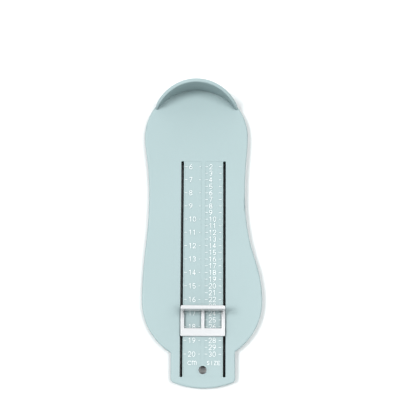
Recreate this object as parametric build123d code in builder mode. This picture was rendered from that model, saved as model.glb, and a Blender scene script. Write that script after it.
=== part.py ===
from build123d import *
import os
from math import sqrt

# A foot gauge for small children. The child's heel stands in the cup at one end of a hollow
# plate, and a toe stop slides along two slots until it touches the toes. Its windows show a
# centimetre scale on the left and a shoe-size scale on the right.
#
# Millimetres. +Z is up, +Y points to the heel and +X to the right of someone who reads the
# scales. The origin lies under the middle of the outline, on the surface the gauge stands on.
# A distance along the scale, its "reading", starts at the inside of the heel cup, a little
# behind the wall's face, because the flesh of a heel gives way.

# ---- Scale -----------------------------------------------------------------------------
first_cm = 6
first_size = 2  # stands beside the first centimetre
size_step = 5.0  # from one shoe size to the next
scale_room = 16.0  # slot kept free beyond the last mark
rest_reading = 165.5  # where the toe stop is parked
flesh_room = 0.4  # the scale starts this far behind the face of the heel cup

# ---- Plate -----------------------------------------------------------------------------
overall_length = 227.0
overall_width = 88.8
plate_height = 8.0  # the plate's top face above the table
shell_wall = 2.2
edge_round = 1.2
ball_from_end = 63.8  # widest place, under the ball of the foot
waist_reading = 83.0  # narrowest place, under the arch
left_waist = 4.4  # how far the waist's side lies in from the ball's side
right_waist = 12.7
heel_turn = 0.25  # where each side changes from bulging to hollow, as a share of its way
left_flank_turn = 0.47
right_flank_turn = 0.62

# ---- Heel cup --------------------------------------------------------------------------
heel_radius = 36.2  # inside
heel_wall = 2.7
heel_rise = 23.4  # rim above the plate
heel_shift = 4.9  # the heel sits left of the middle of the ball
cup_half_width = 31.0
rim_round = 0.8

# ---- Slots and tab ---------------------------------------------------------------------
slot_shift = 0.6  # the scales sit right of the middle of the ball
slot_spacing = 31.5
slot_width = 1.8
slot_corner = 0.5
rim_break = 0.25  # bevel round the slots and the hole
slot_lead = 4.2  # slot beyond the first mark
tab_shift = 0.8  # the tab's middle from the middle of the ball
tab_side = 6.9  # half the tab's width beyond a slot's outer edge
tab_end = 8.2  # from the slot's end to the end of the tab
tab_end_radius = 60.0
tab_corner = 3.0
neck_corner = 1.0

# ---- Hanging hole ----------------------------------------------------------------------
hole_radius = 2.9
hole_from_end = 13.2
hole_pad = 1.2  # land round the hole, level with the plate

# ---- Ribs under the plate --------------------------------------------------------------
rib_wall = 1.4
rib_lift = 1.0  # ribs end short of the table
rib_pitch = 40.0
rib_room = 3.0  # from a slot's edge to the rib beside it, where the legs and hooks pass
ejector_radius = 2.5  # round marks that the mould's ejector pins leave
ejector_depth = 0.15
ejector_reach = 25.0  # from the middle of the scales
gate_radius = 3.0  # dimple round the point where the plastic flowed in
gate_depth = 0.3
gate_stub = 0.8  # radius of what is left of the sprue in it

# ---- Scale fields and marks ------------------------------------------------------------
field_depth = 0.2
field_margin = 0.85  # from the slot's inner edge to the field
band_width = 2.9  # land between the two fields
mark_rise = 0.2  # marks stand this much above the plate
pen_width = 0.34
digit_height = 3.8
digit_width = 2.3
digit_pitch = 2.9
cm_numeral_at = -9.5  # middle of the first digit, from the middle of the scales
size_numeral_at = 5.5
tick_width = 0.27
tick_length = 2.0
short_tick = 1.1  # at the centimetres, beside the land
short_inset = 0.6  # from the land to that tick
size_inset = 0.4  # from the outer edge of its field to the outer tick of a size
caption_height = 3.0
caption_width = 2.0
caption_pitch = 2.6
wide_letter = 3.3  # the m
wide_room = 0.5  # more pitch beside it
caption_drop = 6.4  # from the last mark to the middle of the captions

# ---- Toe stop --------------------------------------------------------------------------
slide_gap = 0.3  # between the slider and the plate
leg_clearance = 0.15
leg_thickness = 1.0
leg_length = 14.0
leg_setback = 1.0
barb_reach = 0.6
barb_height = 1.6
barb_tip = 0.15
slider_length = 21.6
frame_thickness = 2.6
frame_corner = 0.8
frame_round = 0.6
side_bar = 2.9
centre_bar = 2.6
toe_bar = 6.0
window_corner = 0.5
stop_thickness = 3.2
stop_height = 19.7
stop_corner = 1.8
stop_round = 0.8
stop_draft = 1.0  # degrees
cheek_wall = 1.8
cheek_height = 11.0
cheek_reach = 7.0

# ---- Places worked out from the sizes ----------------------------------------------------
mm_per_cm = 10.0
first_mark = first_cm * mm_per_cm
slot_start = first_mark - slot_lead
slot_end = overall_length - heel_wall + flesh_room - tab_end
last_cm = int((slot_end - scale_room) / mm_per_cm)
last_mark = last_cm * mm_per_cm
ball_reading = overall_length - heel_wall + flesh_room - ball_from_end
heel_face = overall_length / 2 - heel_wall
heel_zero = heel_face + flesh_room
heel_outer = heel_radius + heel_wall
heel_middle = (-heel_shift, heel_face - heel_radius)
ball_radius = overall_width / 2
slot_outer = slot_spacing / 2 + slot_width / 2
slot_inner = slot_spacing / 2 - slot_width / 2
tab_half = slot_outer + tab_side
field_outer = slot_inner - field_margin
field_inner = band_width / 2
underside = plate_height - shell_wall
size_count = int((last_mark - first_mark) / size_step) + 1
rib_count = int((ball_reading + ball_radius - slot_start) / rib_pitch) + 1


def at_reading(reading):
    """The Y of a distance along the scale."""
    return heel_zero - reading


ball_y = at_reading(ball_reading)
waist_y = at_reading(waist_reading)
hole_y = at_reading(slot_end + tab_end - hole_from_end)
slot_length = slot_end - slot_start
slot_middle = at_reading((slot_start + slot_end) / 2)
face_y = at_reading(rest_reading)
rib_end = at_reading(slot_start) + rib_wall
first_rib_y = rib_end - rib_wall / 2
gate_y = first_rib_y - rib_pitch / 2


# ---- Outline -----------------------------------------------------------------------------
def sway(start, end, turn):
    """Two arcs from start to end that leave and arrive straight along Y and meet smoothly."""
    meet = (start[0] + (end[0] - start[0]) * turn, start[1] + (end[1] - start[1]) * turn)
    TangentArc(start, meet, tangent=(0, -1))
    TangentArc(end, meet, tangent=(0, 1))


with BuildSketch() as outline:
    with BuildLine():
        heel_left = (heel_middle[0] - heel_outer, heel_middle[1])
        heel_right = (heel_middle[0] + heel_outer, heel_middle[1])
        ThreePointArc(heel_left, (heel_middle[0], heel_middle[1] + heel_outer), heel_right)
        tab_corner_y = -overall_length / 2 + tab_end_radius - sqrt(tab_end_radius**2 - tab_half**2)
        for side, heel_side, waist_x, flank_turn in (
            (-1, heel_left, left_waist - ball_radius, left_flank_turn),
            (1, heel_right, ball_radius - right_waist, right_flank_turn),
        ):
            waist = (waist_x, waist_y)
            ball_side = (side * ball_radius, ball_y)
            sway(heel_side, waist, heel_turn)
            sway(waist, ball_side, flank_turn)
            neck_x = tab_shift + side * tab_half
            neck = (neck_x, ball_y - sqrt(ball_radius**2 - neck_x**2))
            TangentArc(ball_side, neck, tangent=(0, -1))
            Line(neck, (neck_x, tab_corner_y))
        ThreePointArc(
            (tab_shift - tab_half, tab_corner_y),
            (tab_shift, -overall_length / 2),
            (tab_shift + tab_half, tab_corner_y),
        )
    make_face()
    necks = outline.vertices().sort_by(Axis.Y)[2:4]
    fillet(necks, radius=neck_corner)
    fillet(outline.vertices().sort_by(Axis.Y)[:2], radius=tab_corner)

with BuildSketch() as hollow:
    add(outline.sketch)
    offset(amount=-shell_wall, kind=Kind.INTERSECTION)

# ---- Heel cup: a wall on the plate's edge whose rim is an arch seen from the toe end --------
with BuildPart() as heel_cup:
    with BuildSketch():
        with Locations(heel_middle):
            Circle(heel_outer)
            Circle(heel_radius, mode=Mode.SUBTRACT)
    extrude(amount=plate_height + heel_rise)
    arch_foot = plate_height - edge_round
    with BuildSketch(Plane.XZ.offset(-heel_middle[1])):
        with Locations((heel_middle[0], arch_foot)):
            Ellipse(cup_half_width, edge_round + heel_rise)
        with Locations((heel_middle[0], 0)):
            Rectangle(2 * cup_half_width, 2 * arch_foot)
    extrude(amount=-heel_outer, mode=Mode.INTERSECT)
    rim = heel_cup.faces().filter_by(GeomType.EXTRUSION)
    fillet([e for e in rim.edges() if e.length > cup_half_width], radius=rim_round)

# ---- Base plate ----------------------------------------------------------------------------
with BuildSketch() as ribs:
    rib_length = rib_end + overall_length / 2
    rib_inboard = slot_inner - rib_room - rib_wall / 2
    rib_outboard = slot_outer + rib_room + rib_wall / 2
    for rib_x in (-rib_outboard, -rib_inboard, rib_inboard, rib_outboard):
        with Locations((slot_shift + rib_x, rib_end - rib_length / 2)):
            Rectangle(rib_wall, rib_length)
    for index in range(rib_count):
        with Locations((0, first_rib_y - index * rib_pitch)):
            Rectangle(overall_width, rib_wall)
    channel_width = rib_outboard - rib_inboard - rib_wall
    with Locations((slot_shift, slot_middle)):
        with GridLocations(slot_spacing, 0, 2, 1):
            Rectangle(channel_width, slot_length, mode=Mode.SUBTRACT)
    add(hollow.sketch, mode=Mode.INTERSECT)

with BuildPart() as base_plate:
    add(outline.sketch)
    extrude(amount=plate_height)
    fillet(base_plate.faces().sort_by(Axis.Z)[-1].edges(), radius=edge_round)
    add(heel_cup.part)
    add(hollow.sketch)
    extrude(amount=underside, mode=Mode.SUBTRACT)
    with BuildSketch(Plane.XY.offset(rib_lift)):
        add(ribs.sketch)
    extrude(amount=underside - rib_lift)
    # What the mould leaves on the underside, in the bays between the ribs
    with BuildSketch(Plane.XY.offset(underside)):
        for index in range(rib_count):
            with Locations((slot_shift, first_rib_y + (0.5 - index) * rib_pitch)):
                with GridLocations(2 * ejector_reach, 0, 2, 1):
                    Circle(ejector_radius)
    extrude(amount=ejector_depth, mode=Mode.SUBTRACT)
    with BuildSketch(Plane.XY.offset(underside)):
        with Locations((slot_shift, gate_y)):
            Circle(gate_radius)
            Circle(gate_stub, mode=Mode.SUBTRACT)
    extrude(amount=gate_depth, mode=Mode.SUBTRACT)
    # Scale fields, sunk into the plate on both sides of a land, with a pad round the hole
    with BuildSketch(Plane.XY.offset(plate_height)):
        with Locations((slot_shift, slot_middle)):
            with GridLocations(field_inner + field_outer, 0, 2, 1):
                Rectangle(field_outer - field_inner, slot_length)
        with Locations((slot_shift, hole_y)):
            Circle(hole_radius + hole_pad, mode=Mode.SUBTRACT)
    extrude(amount=-field_depth, mode=Mode.SUBTRACT)
    with BuildSketch():
        with Locations((slot_shift, slot_middle)):
            with GridLocations(slot_spacing, 0, 2, 1):
                RectangleRounded(slot_width, slot_length, slot_corner)
        with Locations((slot_shift, hole_y)):
            Circle(hole_radius)
    extrude(amount=plate_height, mode=Mode.SUBTRACT)
    chamfer(base_plate.edges(Select.LAST).group_by(Axis.Z)[-1], length=rim_break)

# ---- Toe stop ------------------------------------------------------------------------------
slider_foot = plate_height + slide_gap
leg_outer = slot_outer - leg_clearance
frame_middle = face_y - slider_length / 2
window_length = slider_length - stop_thickness - toe_bar
window_width = leg_outer - side_bar - centre_bar / 2

with BuildPart() as slider:
    with BuildSketch(Plane.XY.offset(slider_foot)) as frame_plan:
        with Locations((slot_shift, frame_middle)):
            Rectangle(2 * leg_outer, slider_length)
        corners = frame_plan.vertices().sort_by(Axis.Y)
        fillet(corners[2:], radius=stop_corner)
        fillet(frame_plan.vertices().sort_by(Axis.Y)[:2], radius=frame_corner)
    extrude(amount=stop_height, taper=stop_draft)
    # Seen from the side: the stop, a hollow-backed cheek behind it and the low frame
    with BuildSketch(Plane.YZ.offset(slot_shift)):
        stop_back = face_y - stop_thickness
        frame_top = slider_foot + frame_thickness
        with BuildLine():
            Polyline(
                (stop_back, frame_top + cheek_height),
                (stop_back, slider_foot + stop_height),
                (face_y, slider_foot + stop_height),
                (face_y, slider_foot),
                (face_y - slider_length, slider_foot),
                (face_y - slider_length, frame_top),
                (stop_back - cheek_reach, frame_top),
            )
            TangentArc(
                (stop_back - cheek_reach, frame_top),
                (stop_back, frame_top + cheek_height),
                tangent=(1, 0),
            )
        make_face()
    extrude(amount=leg_outer, both=True, mode=Mode.INTERSECT)
    fillet(slider.faces().sort_by(Axis.Z)[-1].edges(), radius=stop_round)
    # Room between the cheeks
    with BuildSketch(Plane.XY.offset(frame_top)):
        with Locations((slot_shift, stop_back - cheek_reach / 2)):
            Rectangle(2 * (leg_outer - cheek_wall), cheek_reach)
    extrude(amount=stop_height, mode=Mode.SUBTRACT)
    # The windows reach the stop, so only their corners at the toe end are round
    with BuildSketch(Plane.XY.offset(slider_foot)) as windows:
        with Locations((slot_shift, stop_back - window_length / 2)):
            with GridLocations(centre_bar + window_width, 0, 2, 1):
                Rectangle(window_width, window_length)
        fillet(windows.vertices().group_by(Axis.Y)[0], radius=window_corner)
    extrude(amount=frame_thickness, mode=Mode.SUBTRACT)
    window_tops = slider.edges(Select.LAST).group_by(Axis.Z)[-1]
    window_rims = [edge for edge in window_tops if not edge.is_interior]
    # The round along the toe edge runs on by itself, up the sides and over the cheeks
    toe_edge = slider.edges().filter_by_position(Axis.Z, frame_top, frame_top).sort_by(Axis.Y)[0]
    fillet([toe_edge, *window_rims], radius=frame_round)
    # Two legs go down through the slots and hook outwards under the plate
    barb_top = underside - slide_gap
    for side in (-1, 1):
        with BuildSketch(Plane.XZ.offset(leg_setback - face_y)):
            with BuildLine():
                Polyline(
                    (slot_shift + side * (leg_outer - leg_thickness), slider_foot),
                    (slot_shift + side * leg_outer, slider_foot),
                    (slot_shift + side * leg_outer, barb_top),
                    (slot_shift + side * (leg_outer + barb_reach), barb_top),
                    (slot_shift + side * (leg_outer + barb_tip), barb_top - barb_height),
                    (slot_shift + side * (leg_outer - leg_thickness), barb_top - barb_height),
                    close=True,
                )
            make_face()
        extrude(amount=leg_length)


# ---- Marks: drawn with a round pen, as numerals are stamped ---------------------------------
def draw(strokes=(), loops=()):
    """A flat mark: a pen stroke along each path, and closed loops of (x, y, width, height)."""
    with BuildSketch() as mark:
        for path in strokes:
            SlotArc(path, pen_width)
        for inset, mode in ((0, Mode.ADD), (pen_width, Mode.SUBTRACT)):
            for x, y, width, height in loops:
                with Locations((x, y)):
                    Ellipse(width / 2 - inset, height / 2 - inset, mode=mode)
    return mark.sketch


def draw_numerals(height, width):
    """The ten numerals, each about its own middle. Their paths run along the pen's middle."""
    right = (width - pen_width) / 2
    top = (height - pen_width) / 2
    bowl = top / 2
    low_middle = right - top
    two_top = CenterArc((0, top - right), right, 165, -195)
    five_bowl = CenterArc((0, low_middle), right, 150, -290)
    five_top = Polyline((0.8 * right, top), (-0.8 * right, top), five_bowl @ 0)
    six_tail = TangentArc((-right, low_middle), (0.65 * right, top), tangent=(0, 1))
    six = draw([six_tail], [(0, low_middle, width, width)])
    return {
        "0": draw(loops=[(0, 0, width, height)]),
        "1": draw([Polyline((-0.7 * right, 0.62 * top), (0.1 * right, top), (0.1 * right, -top))]),
        "2": draw([two_top, Polyline(two_top @ 1, (-right, -top), (right, -top))]),
        "3": draw([CenterArc((0, bowl), bowl, 150, -240), CenterArc((0, -bowl), bowl, 90, -240)]),
        "4": draw([
            Polyline((0.3 * right, top), (-right, -0.4 * top), (right, -0.4 * top)),
            Line((0.3 * right, top), (0.3 * right, -top)),
        ]),
        "5": draw([five_top, five_bowl]),
        "6": six,
        "7": draw([Polyline((-right, top), (right, top), (-0.3 * right, -top))]),
        "8": draw(loops=[
            (0, bowl, 0.9 * width, top + pen_width),
            (0, -bowl, width, top + pen_width),
        ]),
        "9": six.rotate(Axis.Z, 180),
    }


def draw_letters(height, width):
    """The letters of the captions, each about its own middle."""
    right = (width - pen_width) / 2
    top = (height - pen_width) / 2
    bowl = top / 2
    stem = (wide_letter - pen_width) / 2
    arch = stem / 2
    m_strokes = [Line((-stem, -top), (-stem, top))]
    for middle in (-arch, arch):
        over = CenterArc((middle, top - arch), arch, 180, -180)
        m_strokes += [over, Line(over @ 1, (middle + arch, -top))]
    return {
        "c": draw([CenterArc((0, 0), top, 45, 270)]),
        "m": draw(m_strokes),
        "S": draw([CenterArc((0, bowl), bowl, 30, 240), CenterArc((0, -bowl), bowl, 90, -240)]),
        "I": draw([Line((0, -top), (0, top))]),
        "Z": draw([Polyline((-right, top), (right, top), (-right, -top), (right, -top))]),
        "E": draw([
            Polyline((right, top), (-right, top), (-right, -top), (right, -top)),
            Line((-right, 0), (0.7 * right, 0)),
        ]),
    }


def write(text, glyphs, first_x, y, pitch):
    """Put a row of glyphs into the sketch that is being drawn."""
    for place, symbol in enumerate(text):
        with Locations((slot_shift + first_x + place * pitch, y)):
            add(glyphs[symbol])


def rule(start_x, reading, length=tick_length):
    """Put one tick into the sketch that is being drawn, from start_x to the right."""
    with Locations((slot_shift + start_x, at_reading(reading))):
        Rectangle(length, tick_width, align=(Align.MIN, Align.CENTER))


numeral = draw_numerals(digit_height, digit_width)
letter = draw_letters(caption_height, caption_width)
field_floor = Plane.XY.offset(plate_height - field_depth)
field_mark = field_depth + mark_rise
cm_readings = {cm: cm * mm_per_cm for cm in range(first_cm, last_cm + 1)}
size_readings = {first_size + step: first_mark + step * size_step for step in range(size_count)}
caption_y = at_reading(last_mark + caption_drop)

with BuildPart() as cm_numerals:
    with BuildSketch(field_floor):
        for cm, reading in cm_readings.items():
            write(str(cm), numeral, cm_numeral_at, at_reading(reading), digit_pitch)
    extrude(amount=field_mark)

with BuildPart() as size_numerals:
    with BuildSketch(field_floor):
        for size, reading in size_readings.items():
            write(str(size), numeral, size_numeral_at, at_reading(reading), digit_pitch)
    extrude(amount=field_mark)

with BuildPart() as cm_ticks:
    with BuildSketch(field_floor):
        for reading in cm_readings.values():
            rule(-field_outer, reading)
            rule(-field_inner - short_inset - short_tick, reading, short_tick)
    extrude(amount=field_mark)

with BuildPart() as size_ticks:
    with BuildSketch(field_floor):
        for reading in size_readings.values():
            rule(field_inner, reading)
            rule(field_outer - size_inset - tick_length, reading)
    extrude(amount=field_mark)

with BuildPart() as cm_caption:
    with BuildSketch(field_floor):
        write("cm", letter, cm_numeral_at, caption_y, digit_pitch + wide_room)
    extrude(amount=field_mark)

with BuildPart() as size_caption:
    with BuildSketch(field_floor):
        write("SIZE", letter, size_numeral_at - digit_pitch / 2, caption_y, caption_pitch)
    extrude(amount=field_mark)

# ---- Files -------------------------------------------------------------------------------
pieces = {
    "base_plate": base_plate,
    "slider": slider,
    "cm_numerals": cm_numerals,
    "cm_ticks": cm_ticks,
    "cm_caption": cm_caption,
    "size_numerals": size_numerals,
    "size_ticks": size_ticks,
    "size_caption": size_caption,
}
os.makedirs("parts", exist_ok=True)
for name, piece in pieces.items():
    piece.part.label = name
    export_step(piece.part, f"parts/{name}.step")

to_heel = rest_reading + leg_setback - slot_start - slide_gap
to_toe = slot_end - slide_gap - (rest_reading + leg_setback + leg_length)
print(f"outline {overall_width} x {overall_length:.1f}, scale zero at y {heel_zero:.2f}")
print(f"toe stop face at y {face_y:.2f}, travels {to_heel:.2f} to the heel and {to_toe:.2f} to the toe")
print(f"hanging hole at ({slot_shift}, {hole_y:.2f}), heel cup centre {heel_middle}")
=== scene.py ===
import math

import bmesh
import bpy
from bpy.props import FloatProperty, FloatVectorProperty, PointerProperty
from mathutils import Matrix, Vector

bl_info = {
    "name": "Foot Gauge Finish",
    "version": (1, 0, 0),
    "blender": (4, 5, 0),
    "location": "3D View > Sidebar > Foot Gauge",
    "description": "Finishes a child's foot gauge and sets it on a pale studio table",
    "category": "Object",
}

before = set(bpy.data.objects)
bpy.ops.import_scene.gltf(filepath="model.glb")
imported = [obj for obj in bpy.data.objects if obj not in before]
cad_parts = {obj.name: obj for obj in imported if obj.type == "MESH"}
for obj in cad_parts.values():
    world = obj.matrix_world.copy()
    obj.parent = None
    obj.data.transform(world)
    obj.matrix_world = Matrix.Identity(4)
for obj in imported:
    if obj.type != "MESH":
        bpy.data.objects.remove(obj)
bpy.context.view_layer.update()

MM = 0.001

# The moulded pieces, and the raised marks that are stamped white.
PLATE = "base_plate"
STOP = "slider"
MARKS = ("cm_numerals", "cm_ticks", "cm_caption", "size_numerals", "size_ticks", "size_caption")

ABS_IOR = 1.53

# The base plate's satin: how much its clouds vary in tone, its roughness from the grain's hollows
# to its tops, the grain's depth, how much of that depth shows, and how little it shines.
CLOUD_TONE = 0.015
GRAIN_ROUGHNESS = (0.31, 0.43)
GRAIN_DEPTH = 0.02 * MM
GRAIN_SHOWN = 0.25
SATIN_SHINE = 0.19

# The toe stop's polish: its roughness across the ripple, the ripple's depth and how much shows.
POLISH_ROUGHNESS = (0.16, 0.24)
RIPPLE_DEPTH = 0.05 * MM
RIPPLE_SHOWN = 0.1

# The marks' foil: its gloss, the noise values between which it thins, the share of plastic that
# shows through where it is thinnest, and how far a face turns up before the foil starts to cover
# it and covers it whole (0 is upright and 1 is flat).
FOIL_ROUGHNESS = 0.42
FOIL_IOR = 1.48
THIN_FROM, THIN_TO = 0.55, 0.8
THIN_SHARE = 0.25
FOIL_FROM, FOIL_TO = 0.3, 0.7

# The table's laminate, and the gap that keeps its face clear of the plate's rim.
LAMINATE_ROUGHNESS = 0.7
MOTTLE_TONE = 0.01
TABLE_GAP = 0.02 * MM

SENSOR_WIDTH = 36.0  # mm, as Blender's lens takes it


def srgb(hex_colour):
    """The linear colour, with alpha, of an sRGB hex value such as 0xB8D3D9."""
    channels = [(hex_colour >> shift & 255) / 255 for shift in (16, 8, 0)]
    linear = [c / 12.92 if c <= 0.04045 else ((c + 0.055) / 1.055) ** 2.4 for c in channels]
    return (*linear, 1.0)


# ---- Settings ------------------------------------------------------------------------------
def colour_setting(name, description, hex_colour):
    return FloatVectorProperty(
        name=name, description=description, subtype="COLOR", size=4, min=0, max=1,
        default=srgb(hex_colour),
    )


def length_setting(name, description, length, lowest, highest):
    """A length in metres, between two others."""
    return FloatProperty(
        name=name, description=description, unit="LENGTH", subtype="DISTANCE",
        default=length, min=lowest, max=highest,
    )


def angle_setting(name, description, degrees, lowest=-90, highest=90):
    """An angle in degrees, between two others."""
    return FloatProperty(
        name=name, description=description, subtype="ANGLE",
        default=math.radians(degrees), min=math.radians(lowest), max=math.radians(highest),
    )


def strength_setting(name, description, strength, highest):
    return FloatProperty(name=name, description=description, default=strength, min=0, max=highest)


class FootGaugeFinish(bpy.types.PropertyGroup):
    plate_colour: colour_setting("Plate", "Pale blue of the base moulding", 0xA0ACAD)
    stop_colour: colour_setting("Toe stop", "White of the sliding stop", 0xBCBCBD)
    mark_colour: colour_setting("Marks", "White of the stamped numerals and ticks", 0xDEDFDF)
    # A real eroded grain is about 0.15 mm, too fine to show, so it is drawn coarser.
    grain: length_setting(
        "Grain", "Spacing of the mould's eroded grain", 0.45 * MM, 0.05 * MM, 5 * MM)
    flow: length_setting(
        "Flow", "Width of the faint clouds that the melt leaves", 35 * MM, 1 * MM, 500 * MM)
    ripple: length_setting(
        "Ripple", "Width of the faint ripple in the polished stop", 6 * MM, 0.5 * MM, 100 * MM)
    # The foil's real pinholes are about 0.1 mm, too fine to show, so they are drawn coarser.
    spot: length_setting(
        "Thin spots", "Size of the thin spots in the stamped foil", 0.6 * MM, 0.05 * MM, 5 * MM)


class FootGaugeStage(bpy.types.PropertyGroup):
    look_at: FloatVectorProperty(
        name="Look at", description="Point in the middle of the picture", subtype="TRANSLATION",
        unit="LENGTH", size=3, default=(-1.95 * MM, 25.73 * MM, 8.0 * MM),
    )
    distance: length_setting("Distance", "From that point to the camera", 854.0 * MM, 0.1, 10)
    tilt: angle_setting(
        "Tilt", "Camera's lean from straight above, to the toe end", 10.30, lowest=0)
    roll: angle_setting(
        "Roll", "Camera's turn about its own line of sight", 0.316, lowest=-180, highest=180)
    lens: FloatProperty(
        name="Lens", description="Focal length in millimetres", default=102.586, min=10, max=500,
    )
    table_size: length_setting("Table size", "Side of the square table top", 60.0, 1, 1000)
    floor_colour: colour_setting("Table", "White of the table top", 0xD6D6D6)
    mottle: length_setting(
        "Mottle", "Width of the faint mottle in the table top", 40 * MM, 1 * MM, 500 * MM)
    key_strength: strength_setting(
        "Key light", "Strength of the soft light on the left, in W/m2", 1.1, 100)
    key_spread: angle_setting(
        "Key spread", "Width of the key light as the table sees it", 20.1, 0, 180)
    key_left: angle_setting(
        "Key to left", "Key light's lean from straight above to the left", 25.3)
    key_heel: angle_setting(
        "Key to heel", "Key light's lean from straight above to the heel", 2.4)
    fill_strength: strength_setting(
        "Fill light", "Strength of the soft light on the right, in W/m2", 0.97, 100)
    fill_spread: angle_setting(
        "Fill spread", "Width of the fill light as the table sees it", 28.0, 0, 180)
    fill_right: angle_setting(
        "Fill to right", "Fill light's lean from straight above to the right", 17.0)
    fill_heel: angle_setting(
        "Fill to heel", "Fill light's lean from straight above to the heel", 2.4)
    wall_light: strength_setting(
        "Walls", "Strength of the light from the pale walls all round", 0.86, 10)
    ceiling_light: strength_setting(
        "Ceiling", "Strength of the light from straight above", 0.24, 10)
    room_colour: colour_setting("Room", "Cool white of the walls and the ceiling", 0xF8FEFF)


# ---- Materials -----------------------------------------------------------------------------
def add_node(tree, kind, settings=None, inputs=None):
    """Adds a node with its settings and inputs. An input that is a socket becomes a link."""
    node = tree.nodes.new(kind)
    for name, value in (settings or {}).items():
        setattr(node, name, value)
    for name, value in (inputs or {}).items():
        if isinstance(value, bpy.types.NodeSocket):
            tree.links.new(value, node.inputs[name])
        else:
            node.inputs[name].default_value = value
    return node


def new_material(name):
    """A node material that is empty but for its output, with its tree and that output."""
    material = bpy.data.materials.new(name)
    material.use_nodes = True
    tree = material.node_tree
    tree.nodes.clear()
    return material, tree, add_node(tree, "ShaderNodeOutputMaterial")


def shade(value, colour):
    """A colour made darker or lighter by a factor, and opaque."""
    return (*(min(1.0, c * value) for c in colour[:3]), 1.0)


def moulded_abs(finish):
    """Satin ABS, injection moulded in a finely eroded mould: soft highlights and a dry, even tone
    with the faint clouds of the melt's flow."""
    material, tree, output = new_material("moulded_abs_satin_blue")
    place = add_node(tree, "ShaderNodeTexCoord").outputs["Object"]
    clouds = add_node(tree, "ShaderNodeTexNoise", inputs={
        "Vector": place, "Scale": 1 / finish.flow, "Detail": 2.0, "Roughness": 0.4,
    })
    tone = add_node(tree, "ShaderNodeMix", {"data_type": "RGBA"}, {
        "Factor": clouds.outputs["Fac"],
        "A": shade(1 - CLOUD_TONE, finish.plate_colour),
        "B": shade(1 + CLOUD_TONE, finish.plate_colour),
    })
    grain = add_node(tree, "ShaderNodeTexNoise", inputs={
        "Vector": place, "Scale": 1 / finish.grain, "Detail": 3.0, "Roughness": 0.55,
    })
    dull = add_node(tree, "ShaderNodeMapRange", inputs={
        "Value": grain.outputs["Fac"],
        "To Min": GRAIN_ROUGHNESS[0],
        "To Max": GRAIN_ROUGHNESS[1],
    })
    bump = add_node(tree, "ShaderNodeBump", inputs={
        "Strength": GRAIN_SHOWN, "Distance": GRAIN_DEPTH, "Height": grain.outputs["Fac"],
    })
    surface = add_node(tree, "ShaderNodeBsdfPrincipled", inputs={
        "Base Color": tone.outputs["Result"],
        "Roughness": dull.outputs["Result"],
        "IOR": ABS_IOR,
        "Specular IOR Level": SATIN_SHINE,
        "Normal": bump.outputs["Normal"],
    })
    tree.links.new(surface.outputs["BSDF"], output.inputs["Surface"])
    return material


def polished_abs(finish):
    """White ABS, injection moulded in a polished mould: a clear gloss with a very faint ripple."""
    material, tree, output = new_material("moulded_abs_gloss_white")
    place = add_node(tree, "ShaderNodeTexCoord").outputs["Object"]
    ripple = add_node(tree, "ShaderNodeTexNoise", inputs={
        "Vector": place, "Scale": 1 / finish.ripple, "Detail": 1.0, "Roughness": 0.4,
    })
    dull = add_node(tree, "ShaderNodeMapRange", inputs={
        "Value": ripple.outputs["Fac"],
        "To Min": POLISH_ROUGHNESS[0],
        "To Max": POLISH_ROUGHNESS[1],
    })
    bump = add_node(tree, "ShaderNodeBump", inputs={
        "Strength": RIPPLE_SHOWN, "Distance": RIPPLE_DEPTH, "Height": ripple.outputs["Fac"],
    })
    surface = add_node(tree, "ShaderNodeBsdfPrincipled", inputs={
        "Base Color": tuple(finish.stop_colour),
        "Roughness": dull.outputs["Result"],
        "IOR": ABS_IOR,
        "Normal": bump.outputs["Normal"],
    })
    tree.links.new(surface.outputs["BSDF"], output.inputs["Surface"])
    return material


def stamped_foil(finish):
    """White hot-stamping foil on raised ABS marks: opaque and a little drier than the plastic on
    top, with small thin spots, while the sides keep the plate's pale blue."""
    material, tree, output = new_material("hot_stamped_white_foil")
    coordinates = add_node(tree, "ShaderNodeTexCoord")
    spots = add_node(tree, "ShaderNodeTexNoise", inputs={
        "Vector": coordinates.outputs["Object"], "Scale": 1 / finish.spot, "Detail": 2.0,
        "Roughness": 0.6,
    })
    thin = add_node(tree, "ShaderNodeMapRange", inputs={
        "Value": spots.outputs["Fac"], "From Min": THIN_FROM, "From Max": THIN_TO,
        "To Max": THIN_SHARE,
    })
    facing = add_node(tree, "ShaderNodeSeparateXYZ", inputs={
        "Vector": coordinates.outputs["Normal"],
    })
    side = add_node(tree, "ShaderNodeMapRange", inputs={
        "Value": facing.outputs["Z"], "From Min": FOIL_FROM, "From Max": FOIL_TO, "To Min": 1.0,
        "To Max": 0.0,
    })
    bare = add_node(tree, "ShaderNodeMath", {"operation": "MAXIMUM"}, {
        0: thin.outputs["Result"], 1: side.outputs["Result"],
    })
    tone = add_node(tree, "ShaderNodeMix", {"data_type": "RGBA"}, {
        "Factor": bare.outputs["Value"],
        "A": tuple(finish.mark_colour),
        "B": tuple(finish.plate_colour),
    })
    surface = add_node(tree, "ShaderNodeBsdfPrincipled", inputs={
        "Base Color": tone.outputs["Result"], "Roughness": FOIL_ROUGHNESS, "IOR": FOIL_IOR,
    })
    tree.links.new(surface.outputs["BSDF"], output.inputs["Surface"])
    return material


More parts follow.
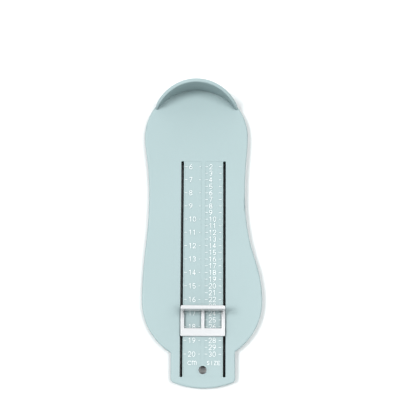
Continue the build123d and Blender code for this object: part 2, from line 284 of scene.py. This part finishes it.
def table_top(stage):
    """Matt white laminate: nearly even, with a very faint mottle."""
    material, tree, output = new_material("matt_white_laminate")
    place = add_node(tree, "ShaderNodeTexCoord").outputs["Object"]
    mottle = add_node(tree, "ShaderNodeTexNoise", inputs={
        "Vector": place, "Scale": 1 / stage.mottle, "Detail": 2.0, "Roughness": 0.5,
    })
    tone = add_node(tree, "ShaderNodeMix", {"data_type": "RGBA"}, {
        "Factor": mottle.outputs["Fac"],
        "A": shade(1 - MOTTLE_TONE, stage.floor_colour),
        "B": tuple(stage.floor_colour),
    })
    surface = add_node(tree, "ShaderNodeBsdfPrincipled", inputs={
        "Base Color": tone.outputs["Result"], "Roughness": LAMINATE_ROUGHNESS,
    })
    tree.links.new(surface.outputs["BSDF"], output.inputs["Surface"])
    return material


def dress(node_name, material):
    """Gives a CAD node its material."""
    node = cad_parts[node_name]
    node.data.materials.clear()
    node.data.materials.append(material)


# ---- Operators -----------------------------------------------------------------------------
class FOOTGAUGE_OT_base_plate(bpy.types.Operator):
    """Finish the base plate as satin ABS"""

    bl_idname = "footgauge.base_plate"
    bl_label = "Base Plate"

    def execute(self, context):
        dress(PLATE, moulded_abs(context.scene.footgauge_finish))
        return {"FINISHED"}


class FOOTGAUGE_OT_toe_stop(bpy.types.Operator):
    """Finish the sliding toe stop as polished white ABS"""

    bl_idname = "footgauge.toe_stop"
    bl_label = "Toe Stop"

    def execute(self, context):
        dress(STOP, polished_abs(context.scene.footgauge_finish))
        return {"FINISHED"}


class FOOTGAUGE_OT_marks(bpy.types.Operator):
    """Finish the numerals, ticks and captions as stamped foil"""

    bl_idname = "footgauge.marks"
    bl_label = "Scale Marks"

    def execute(self, context):
        foil = stamped_foil(context.scene.footgauge_finish)
        for name in MARKS:
            dress(name, foil)
        return {"FINISHED"}


class FOOTGAUGE_OT_stage(bpy.types.Operator):
    """Make the table, the studio light and the camera"""

    bl_idname = "footgauge.stage"
    bl_label = "Stage"

    def execute(self, context):
        stage = context.scene.footgauge_stage
        self.make_table(context, stage)
        self.make_lights(context, stage)
        self.make_room(context, stage)
        self.make_camera(context, stage)
        # A crisp tone curve, which keeps the table white and the slots dark.
        context.scene.view_settings.view_transform = "Standard"
        context.scene.view_settings.look = "Very High Contrast"
        return {"FINISHED"}

    def make_table(self, context, stage):
        shape = bmesh.new()
        bmesh.ops.create_grid(shape, x_segments=1, y_segments=1, size=stage.table_size / 2)
        bmesh.ops.translate(shape, verts=shape.verts, vec=(0, 0, -TABLE_GAP))
        mesh = bpy.data.meshes.new("table")
        shape.to_mesh(mesh)
        shape.free()
        mesh.materials.append(table_top(stage))
        table = bpy.data.objects.new("table", mesh)
        context.scene.collection.objects.link(table)

    def make_lights(self, context, stage):
        self.add_light(context, "key", stage.key_strength, stage.key_spread,
                       -stage.key_left, stage.key_heel)
        self.add_light(context, "fill", stage.fill_strength, stage.fill_spread,
                       stage.fill_right, stage.fill_heel)

    def add_light(self, context, name, strength, spread, right, heel):
        """A soft light, so far off that it lights the whole table evenly. Its leans from straight
        above are to the right and to the heel."""
        light = bpy.data.lights.new(name, "SUN")
        light.energy = strength
        light.angle = spread
        lamp = bpy.data.objects.new(name, light)
        toward = Vector((math.tan(right), math.tan(heel), 1))
        lamp.rotation_euler = toward.to_track_quat("Z", "Y").to_euler()
        context.scene.collection.objects.link(lamp)

    def make_room(self, context, stage):
        """Pale walls and a ceiling, whose light turns from one to the other with height."""
        world = bpy.data.worlds.new("studio")
        world.use_nodes = True
        tree = world.node_tree
        tree.nodes.clear()
        way = add_node(tree, "ShaderNodeTexCoord").outputs["Generated"]
        height = add_node(tree, "ShaderNodeSeparateXYZ", inputs={"Vector": way}).outputs["Z"]
        strength = add_node(tree, "ShaderNodeMapRange", inputs={
            "Value": height, "To Min": stage.wall_light, "To Max": stage.ceiling_light,
        })
        room = add_node(tree, "ShaderNodeBackground", inputs={
            "Color": tuple(stage.room_colour), "Strength": strength.outputs["Result"],
        })
        output = add_node(tree, "ShaderNodeOutputWorld")
        tree.links.new(room.outputs["Background"], output.inputs["Surface"])
        context.scene.world = world

    def make_camera(self, context, stage):
        data = bpy.data.cameras.new("camera")
        data.sensor_width = SENSOR_WIDTH
        data.lens = stage.lens
        camera = bpy.data.objects.new("camera", data)
        lean = Matrix.Rotation(stage.tilt, 4, "X") @ Matrix.Rotation(stage.roll, 4, "Z")
        away = Matrix.Translation((0, 0, stage.distance))
        camera.matrix_world = Matrix.Translation(stage.look_at) @ lean @ away
        context.scene.collection.objects.link(camera)
        context.scene.camera = camera


class FOOTGAUGE_PT_panel(bpy.types.Panel):
    """Lists the pieces of the foot gauge and their settings"""

    bl_idname = "FOOTGAUGE_PT_panel"
    bl_label = "Foot Gauge"
    bl_space_type = "VIEW_3D"
    bl_region_type = "UI"
    bl_category = "Foot Gauge"

    def draw(self, context):
        for settings in (context.scene.footgauge_finish, context.scene.footgauge_stage):
            box = self.layout.box()
            for name in settings.bl_rna.properties.keys():
                if name not in ("rna_type", "name"):
                    box.prop(settings, name)
        for step in STEPS:
            self.layout.operator(step.bl_idname)


STEPS = (
    FOOTGAUGE_OT_base_plate,
    FOOTGAUGE_OT_toe_stop,
    FOOTGAUGE_OT_marks,
    FOOTGAUGE_OT_stage,
)
CLASSES = (FootGaugeFinish, FootGaugeStage, *STEPS, FOOTGAUGE_PT_panel)


def register():
    for cls in CLASSES:
        bpy.utils.register_class(cls)
    bpy.types.Scene.footgauge_finish = PointerProperty(type=FootGaugeFinish)
    bpy.types.Scene.footgauge_stage = PointerProperty(type=FootGaugeStage)


def unregister():
    del bpy.types.Scene.footgauge_stage
    del bpy.types.Scene.footgauge_finish
    for cls in reversed(CLASSES):
        bpy.utils.unregister_class(cls)


def main():
    register()
    bpy.ops.footgauge.base_plate()
    bpy.ops.footgauge.toe_stop()
    bpy.ops.footgauge.marks()
    bpy.ops.footgauge.stage()


if __name__ == "__main__":
    main()
